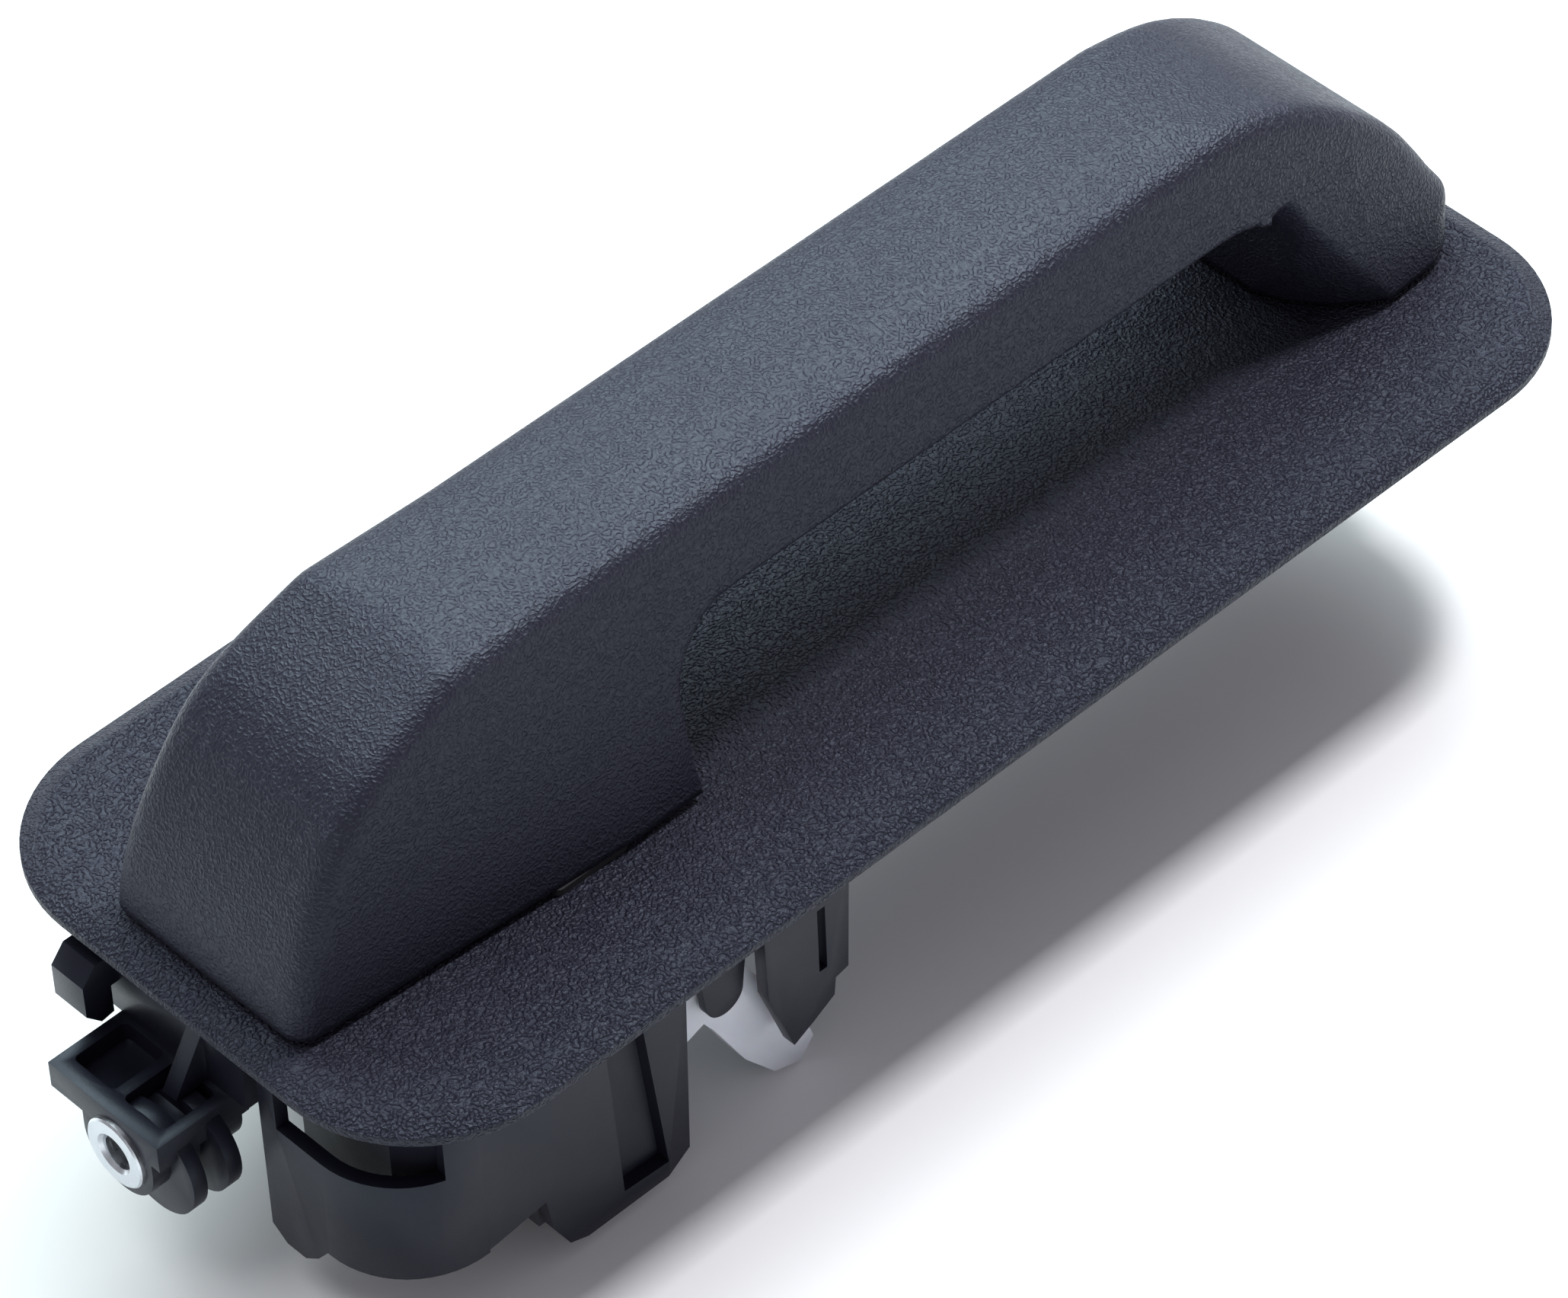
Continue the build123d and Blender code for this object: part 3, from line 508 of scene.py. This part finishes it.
class HANDLE_OT_grip(bpy.types.Operator):
    """Softens the outer grip, whose creases melt into each other"""

    bl_idname = "handle.grip"
    bl_label = "Outer grip"

    # share of the mesh's box that the grip fills
    box_share = 0.98

    def execute(self, context):
        sizes = context.scene.handle_sizes
        piece = copy_of_node("grip_shell", "grip_shell_soft")
        remesh = piece.modifiers.new("even_mesh", "REMESH")
        remesh.mode = "SHARP"
        remesh.octree_depth = sizes.grip_detail
        remesh.scale = self.box_share
        remesh.sharpness = 1.0
        remesh.use_remove_disconnected = False
        apply_modifiers(piece)
        self.mark_creases(piece, sizes.rim_guard)
        # the creases melt, but the rim and the edge along the inner cover stay where they are
        keep = piece.modifiers.new("keep_edges", "VERTEX_WEIGHT_PROXIMITY")
        keep.vertex_group = "creases"
        keep.target = bpy.data.objects["grip_inner_cover_moulded"]
        keep.proximity_mode = "GEOMETRY"
        keep.proximity_geometry = {"FACE"}
        keep.min_dist = sizes.cover_guard
        keep.max_dist = sizes.cover_blend
        soften = piece.modifiers.new("soft_creases", "SMOOTH")
        soften.vertex_group = "creases"
        soften.factor = 0.5
        soften.iterations = sizes.grip_softness
        apply_modifiers(piece)
        make_active(piece)
        bpy.ops.object.shade_smooth()
        stand_for(piece, "grip_shell")
        paint(piece, finish_of("fine_grain"))
        return {"FINISHED"}

    def mark_creases(self, piece, rim):
        """Puts every point above the rim in the group that is smoothed."""
        make_active(piece)
        bpy.ops.object.mode_set(mode="EDIT")
        bpy.ops.mesh.select_mode(type="VERT")
        bpy.ops.mesh.select_all(action="DESELECT")
        bpy.ops.object.mode_set(mode="OBJECT")
        for point in piece.data.vertices:
            point.select = point.co.z > rim
        piece.vertex_groups.new(name="creases")
        bpy.ops.object.mode_set(mode="EDIT")
        bpy.ops.object.vertex_group_assign()
        bpy.ops.object.mode_set(mode="OBJECT")


class HANDLE_OT_insert(bpy.types.Operator):
    """Turns the flanged insert of the lug and cuts its thread"""

    bl_idname = "handle.insert"
    bl_label = "Threaded insert"

    flange_thickness = 0.9 * MM
    thread_run_out = 2 * MM
    thread_overlap = 0.03 * MM

    def execute(self, context):
        sizes = context.scene.handle_sizes
        low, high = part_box("threaded_insert")
        flange = (high.y - low.y) / 2
        depth = high.x - low.x
        root = sizes.thread_root
        tube = 0.7 * flange
        chamfer = 0.3 * MM
        rim = flange - chamfer
        thick = self.flange_thickness
        # front face, flange, tube, back end, bore, countersink
        body = turned("threaded_insert_turned", (
            (rim, 0), (flange, chamfer), (flange, thick), (tube, thick),
            (tube, depth), (root, depth), (root, 0.6 * MM), (root + 0.5 * MM, 0), (rim, 0),
        ), sides=TURNED_SIDES)
        ridge = self.thread(sizes, depth)
        make_active(body)
        ridge.select_set(True)
        bpy.ops.object.join()
        centre = Vector((low.x, (low.y + high.y) / 2, (low.z + high.z) / 2))
        settle(body, Matrix.Translation(centre) @ Matrix.Rotation(math.pi / 2, 4, "Y"))
        soft_shade(body, METAL_SHADE_ANGLE)
        stand_for(body, "threaded_insert")
        return {"FINISHED"}

    def thread(self, sizes, depth):
        """The helical ridge: a triangle swept round and along the bore."""
        # a triangle of this radius is as high as the thread is deep
        radius = (sizes.thread_root - sizes.thread_crest) / 1.5
        place = sizes.thread_root - radius / 2 + self.thread_overlap
        deselect()
        bpy.ops.mesh.primitive_circle_add(
            vertices=3, radius=radius, location=(place, 0, self.flange_thickness)
        )
        ridge = bpy.context.object
        bpy.ops.object.mode_set(mode="EDIT")
        bpy.ops.mesh.select_all(action="SELECT")
        centre = tuple(ridge.location)
        bpy.ops.transform.rotate(value=math.pi / 2, orient_axis="Z", center_override=centre)
        bpy.ops.transform.rotate(value=math.pi / 2, orient_axis="X", center_override=centre)
        bpy.ops.object.mode_set(mode="OBJECT")
        bpy.ops.object.transform_apply(location=True)
        screw = ridge.modifiers.new("helix", "SCREW")
        screw.axis = "Z"
        screw.angle = math.tau
        screw.steps = 36
        screw.render_steps = 36
        screw.screw_offset = sizes.thread_pitch
        screw.iterations = int((depth - self.thread_run_out) / sizes.thread_pitch)
        screw.use_merge_vertices = True
        screw.merge_threshold = 0.001 * MM
        apply_modifiers(ridge)
        # the two open ends
        make_active(ridge)
        bpy.ops.object.mode_set(mode="EDIT")
        bpy.ops.mesh.select_all(action="DESELECT")
        bpy.ops.mesh.select_mode(type="EDGE")
        bpy.ops.mesh.select_non_manifold()
        bpy.ops.mesh.fill_holes(sides=3)
        bpy.ops.mesh.select_all(action="SELECT")
        bpy.ops.mesh.normals_make_consistent(inside=False)
        bpy.ops.mesh.select_mode(type="VERT")
        bpy.ops.object.mode_set(mode="OBJECT")
        return ridge


class HANDLE_OT_plate_screws(bpy.types.Operator):
    """Makes the flanged screws that hold the plate, each with a six-lobed recess"""

    bl_idname = "handle.plate_screws"
    bl_label = "Plate screws"

    places = ((-104 * MM, 30 * MM), (-104 * MM, -30 * MM), (84 * MM, 31 * MM), (84 * MM, -31 * MM))
    turn_between = 0.37
    head_height = 3 * MM
    flange_radius = 5.6 * MM
    shank_radius = 1.7 * MM
    recess_radius = 1.8 * MM
    lobe_inset = 0.78

    def execute(self, context):
        first = self.screw()
        screws = [first]
        for _ in self.places[1:]:
            other = first.copy()
            other.data = first.data.copy()
            context.scene.collection.objects.link(other)
            screws.append(other)
        for count, (screw, (x, y)) in enumerate(zip(screws, self.places)):
            turn = Matrix.Rotation(self.turn_between * count, 4, "Z")
            settle(screw, Matrix.Translation((x, y, 0)) @ turn)
        make_active(first)
        for screw in screws[1:]:
            screw.select_set(True)
        bpy.ops.object.join()
        soft_shade(first, METAL_SHADE_ANGLE)
        stand_for(first, "plate_screws")
        return {"FINISHED"}

    def screw(self):
        """One screw on the Z axis: shank up, flange and domed head down, recess in its end."""
        low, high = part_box("plate_screws")
        end = low.z
        seat = end + self.head_height
        shank = self.shank_radius
        flange = self.flange_radius
        recess = self.recess_radius
        head = turned("plate_screws_turned", (
            (0.4 * MM, high.z), (1.5 * MM, high.z), (shank, high.z - 0.3 * MM), (shank, seat),
            (flange, seat), (flange, seat - 0.7 * MM), (flange - 0.3 * MM, seat - 1.0 * MM),
            (3.6 * MM, seat - 1.1 * MM), (3.3 * MM, end + 0.8 * MM), (2.6 * MM, end + 0.1 * MM),
            (recess, end), (recess, end + 1.4 * MM), (0.4 * MM, end + 1.5 * MM),
        ), sides=TURNED_SIDES, closed=False)
        make_active(head)
        bpy.ops.object.mode_set(mode="EDIT")
        bpy.ops.mesh.select_mode(type="EDGE")
        bpy.ops.mesh.select_all(action="DESELECT")
        bpy.ops.mesh.select_non_manifold()
        bpy.ops.mesh.fill_holes(sides=0)
        bpy.ops.mesh.select_all(action="SELECT")
        bpy.ops.mesh.normals_make_consistent(inside=False)
        # between the lobes the recess's wall is drawn in
        bpy.ops.mesh.select_mode(type="VERT")
        bpy.ops.mesh.select_all(action="DESELECT")
        bpy.ops.object.mode_set(mode="OBJECT")
        for point in head.data.vertices:
            angle = math.atan2(point.co.y, point.co.x)
            radius = math.hypot(point.co.x, point.co.y)
            point.select = abs(radius - recess) < 0.05 * MM and math.cos(6 * angle) < -0.1
        bpy.ops.object.mode_set(mode="EDIT")
        bpy.ops.transform.resize(value=(self.lobe_inset, self.lobe_inset, 1), center_override=(0, 0, 0))
        bpy.ops.object.mode_set(mode="OBJECT")
        return head


class HANDLE_OT_stage(bpy.types.Operator):
    """Sets up the floor, the soft lights and the camera"""

    bl_idname = "handle.stage"
    bl_label = "Studio"

    floor_gap = 0.2 * MM
    floor_size = 12
    world_colour = (0.94, 0.92, 1.0, 1)
    world_strength = 0.36
    # name, place, aimed at, width, height, share of the power, colour
    lamps = (
        ("overhead", (0.30, 0.56, 0.80), (0, 0, 0), 1.15, 0.70, 1.15, (0.84, 0.99, 1.0)),
        ("slim_top", (0.50, -0.05, 0.90), (0.02, -0.03, 0), 0.15, 0.15, 0.55, (0.97, 0.97, 1.0)),
        ("end_top", (-0.45, 0.15, 0.95), (-0.08, 0, 0), 0.4, 0.4, 0.16, (0.95, 0.98, 1.0)),
    )

    def execute(self, context):
        colours = context.scene.handle_colours
        self.make_floor(colours)
        self.make_lights(context)
        self.make_camera(context)
        return {"FINISHED"}

    def make_floor(self, colours):
        """A pale paper floor just under the lowest point."""
        deselect()
        place = (0, 0, CAD_LOW.z - self.floor_gap)
        bpy.ops.mesh.primitive_plane_add(size=self.floor_size, location=place)
        floor = bpy.context.object
        floor.name = "floor"
        paper = Finish("floor_paper", colours.floor, 0.85)
        paper.tint(0.01, paper.noise(0.4, 2.0))
        paint(floor, paper.material)

    def make_lights(self, context):
        """An even sky and the softboxes."""
        world = bpy.data.worlds.new("studio")
        world.use_nodes = True
        background = world.node_tree.nodes["Background"]
        background.inputs["Color"].default_value = self.world_colour
        background.inputs["Strength"].default_value = self.world_strength
        context.scene.world = world
        power = context.scene.handle_sizes.light_power
        for name, place, aim, width, height, share, tone in self.lamps:
            light = bpy.data.lights.new(name, "AREA")
            light.shape = "RECTANGLE"
            light.size = width
            light.size_y = height
            light.energy = power * share
            light.color = tone
            lamp = bpy.data.objects.new(name, light)
            lamp.location = place
            lamp.rotation_euler = (Vector(aim) - Vector(place)).to_track_quat("-Z", "Y").to_euler()
            context.scene.collection.objects.link(lamp)

    def make_camera(self, context):
        """The camera, near the block's end and above it, looking down at the grip."""
        lens = bpy.data.cameras.new("camera")
        lens.sensor_width = CAMERA_SENSOR
        lens.lens = CAMERA_LENS
        lens.clip_start = 0.01
        lens.clip_end = 50
        camera = bpy.data.objects.new("camera", lens)
        back = CAMERA_RIGHT.cross(CAMERA_UP)
        turn = Matrix((CAMERA_RIGHT, CAMERA_UP, back)).transposed().to_4x4()
        camera.matrix_world = Matrix.Translation(CAMERA_PLACE) @ turn
        context.scene.collection.objects.link(camera)
        context.scene.camera = camera
        context.scene.view_settings.view_transform = "Standard"


class HANDLE_PT_panel(bpy.types.Panel):
    """Lists the handle's settings and steps"""

    bl_label = "Door Handle"
    bl_idname = "HANDLE_PT_panel"
    bl_space_type = "VIEW_3D"
    bl_region_type = "UI"
    bl_category = "Door Handle"

    def draw(self, context):
        layout = self.layout
        for group in (context.scene.handle_colours, context.scene.handle_sizes):
            box = layout.box()
            for key in group.bl_rna.properties.keys():
                if key not in ("rna_type", "name"):
                    box.prop(group, key)
        for step in STEPS:
            layout.operator(step.bl_idname)


STEPS = (
    HANDLE_OT_finish_frame,
    HANDLE_OT_moulded_edges,
    HANDLE_OT_grip,
    HANDLE_OT_insert,
    HANDLE_OT_plate_screws,
    HANDLE_OT_stage,
)
CLASSES = (HandleColours, HandleSizes, *STEPS, HANDLE_PT_panel)


def register():
    for made in CLASSES:
        bpy.utils.register_class(made)
    bpy.types.Scene.handle_colours = bpy.props.PointerProperty(type=HandleColours)
    bpy.types.Scene.handle_sizes = bpy.props.PointerProperty(type=HandleSizes)


def unregister():
    del bpy.types.Scene.handle_sizes
    del bpy.types.Scene.handle_colours
    for made in reversed(CLASSES):
        bpy.utils.unregister_class(made)


def main():
    register()
    for step in STEPS:
        group, action = step.bl_idname.split(".")
        getattr(getattr(bpy.ops, group), action)()


if __name__ == "__main__":
    main()
